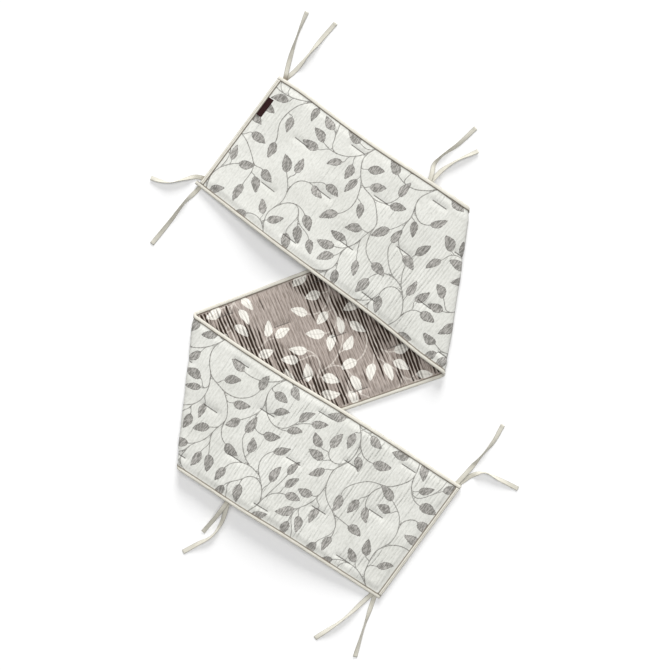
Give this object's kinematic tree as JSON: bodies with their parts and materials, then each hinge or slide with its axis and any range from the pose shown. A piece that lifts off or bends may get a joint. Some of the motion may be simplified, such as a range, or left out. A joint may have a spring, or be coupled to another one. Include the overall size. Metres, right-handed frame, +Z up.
{
  "type": "crib bumper",
  "caption": "Long quilted strip with ribbed cloth, tacked padding, taped edges, fabric ties and a sewn label, laid out flat with slanted rolled folds.",
  "frame": {"origin": "on the floor, under the middle of the box of the whole laid-out bumper", "axes": "+Z up from the floor; +Y along the layout's longest side, from the bottom panel to the top one; +X to the right as seen from above"},
  "size_m": [0.8302, 1.4544, 0.0347],
  "materials": {
    "cloth": "woven leaf scroll, white ground on the face and taupe on the reverse",
    "tape": "plain cream cotton tape",
    "label": "plain dark woven label"
  },
  "bodies": {
    "root": {"quilted_pad": "cloth", "tape_upper_edge": "tape", "tape_lower_edge": "tape", "tape_top_end": "tape", "tape_bottom_end": "tape", "tie_top_corner": "tape", "tie_left_corner": "tape", "tie_upper_edge": "tape", "tie_right_corner": "tape", "tie_bottom_corner": "tape", "tie_lower_edge": "tape", "label": "label"}
  },
  "joints": []
}
